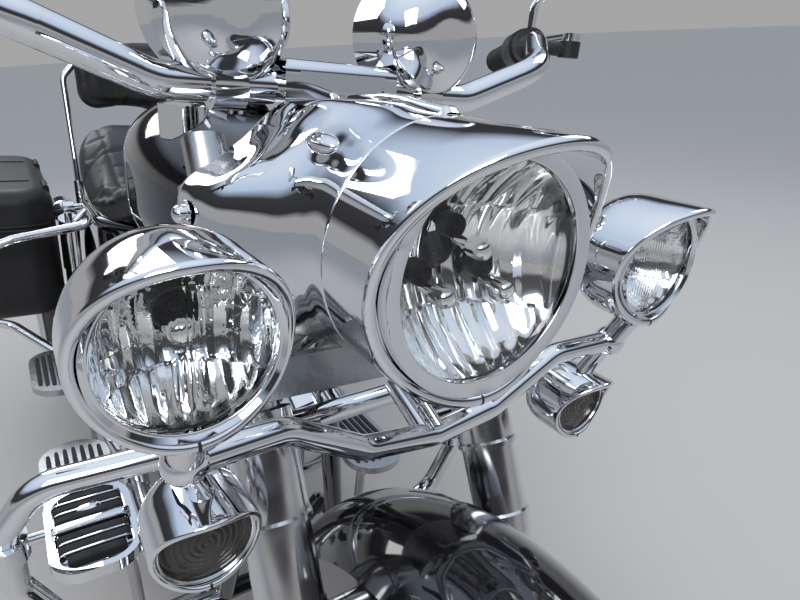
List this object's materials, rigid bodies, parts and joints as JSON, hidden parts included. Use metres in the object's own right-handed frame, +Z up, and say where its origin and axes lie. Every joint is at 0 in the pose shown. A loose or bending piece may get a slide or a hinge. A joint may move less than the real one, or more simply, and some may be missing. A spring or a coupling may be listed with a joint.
{
  "type": "touring motorcycle",
  "caption": "Touring motorcycle with chromed lamp nacelle, passing lamps, saddlebags and backrest, leaning on its side stand; steering, wheels, bag lids and stand move.",
  "frame": {"origin": "centre of the bounding box on the ground", "axes": "+X to the rider's left, +Y to the rear along the bike's length, +Z up; the bike leans 9 degrees to +X onto its side stand"},
  "size_m": [1.0647, 2.3853, 1.33],
  "materials": {
    "black_paint": "gloss",
    "chrome": "polished",
    "satin_metal": "satin",
    "black_engine": "satin",
    "steel": "brushed",
    "tyre": "matte",
    "rubber": "matte",
    "leather": "satin",
    "clear_glass": "clear",
    "smoke_glass": "smoked",
    "mirror": "mirror"
  },
  "bodies": {
    "frame": {"frame_tubes": "black_paint", "swingarm": "black_paint", "rear_axle": "steel", "shocks": "chrome", "rear_caliper": "black_engine", "engine_cases": "satin_metal", "cylinders": "black_engine", "cylinder_heads": "black_engine", "rocker_boxes": "chrome", "pushrod_tubes": "chrome", "engine_covers": "chrome", "drive_belt": "rubber", "air_cleaner": "chrome", "exhaust": "chrome", "fuel_tank": "black_paint", "tank_console": "chrome", "seat": "leather", "backrest_bar": "chrome", "backrest_pad": "leather", "rear_fender": "black_paint", "tail_lamps": "chrome", "plate_bracket": "black_paint", "saddlebags": "leather", "guard_bars": "chrome", "highway_pegs": "chrome", "floorboards": "satin_metal", "side_covers": "black_paint"},
    "front_wheel": {"front_tyre": "tyre", "front_rim": "satin_metal", "front_brake_discs": "steel"},
    "rear_wheel": {"rear_tyre": "tyre", "rear_rim": "satin_metal", "rear_brake_disc": "steel", "rear_pulley": "satin_metal"},
    "steering": {"fork_yokes": "steel", "fork_sliders": "satin_metal", "fork_cans": "chrome", "front_axle": "steel", "front_calipers": "black_engine", "front_fender": "black_paint", "lamp_shells": "chrome", "headlamp_trim": "chrome", "lamp_glasses": "clear_glass", "signal_lenses": "smoke_glass", "lamp_bowls": "chrome", "nacelle": "chrome", "lamp_bar": "chrome", "handlebar": "chrome", "bar_clamps": "chrome", "grips": "rubber", "control_housings": "black_engine", "levers": "satin_metal", "speaker_pods": "chrome", "mirrors": "chrome", "mirror_glass": "mirror"},
    "lid_left": {"lid_left": "leather"},
    "lid_right": {"lid_right": "leather"},
    "side_stand": {"side_stand": "black_paint"}
  },
  "joints": [
    {"name": "steering", "type": "hinge", "parent": "frame", "child": "steering", "pos_m": [-0.02896, -0.61204, 0.84043], "axis": [0.1406, 0.4384, 0.8877], "range_deg": [-33, 33]},
    {"name": "front_wheel_spin", "type": "hinge", "parent": "steering", "child": "front_wheel", "pos_m": [-0.11177, -0.8693, 0.31759], "axis": [0.9877, 0, -0.1564], "continuous": true},
    {"name": "rear_wheel_spin", "type": "hinge", "parent": "frame", "child": "rear_wheel", "pos_m": [-0.11177, 0.7557, 0.31759], "axis": [0.9877, 0, -0.1564], "continuous": true},
    {"name": "lid_left_hinge", "type": "hinge", "parent": "frame", "child": "lid_left", "pos_m": [0.15851, 0.8307, 0.65602], "axis": [0, -1, 0], "range_deg": [0, 80]},
    {"name": "lid_right_hinge", "type": "hinge", "parent": "frame", "child": "lid_right", "pos_m": [-0.26422, 0.8307, 0.72298], "axis": [0, 1, 0], "range_deg": [0, 80]},
    {"name": "side_stand_fold", "type": "hinge", "parent": "frame", "child": "side_stand", "pos_m": [0.01605, -0.2293, 0.16572], "axis": [0.7746, -0.0404, 0.6312], "range_deg": [0, 97]}
  ]
}
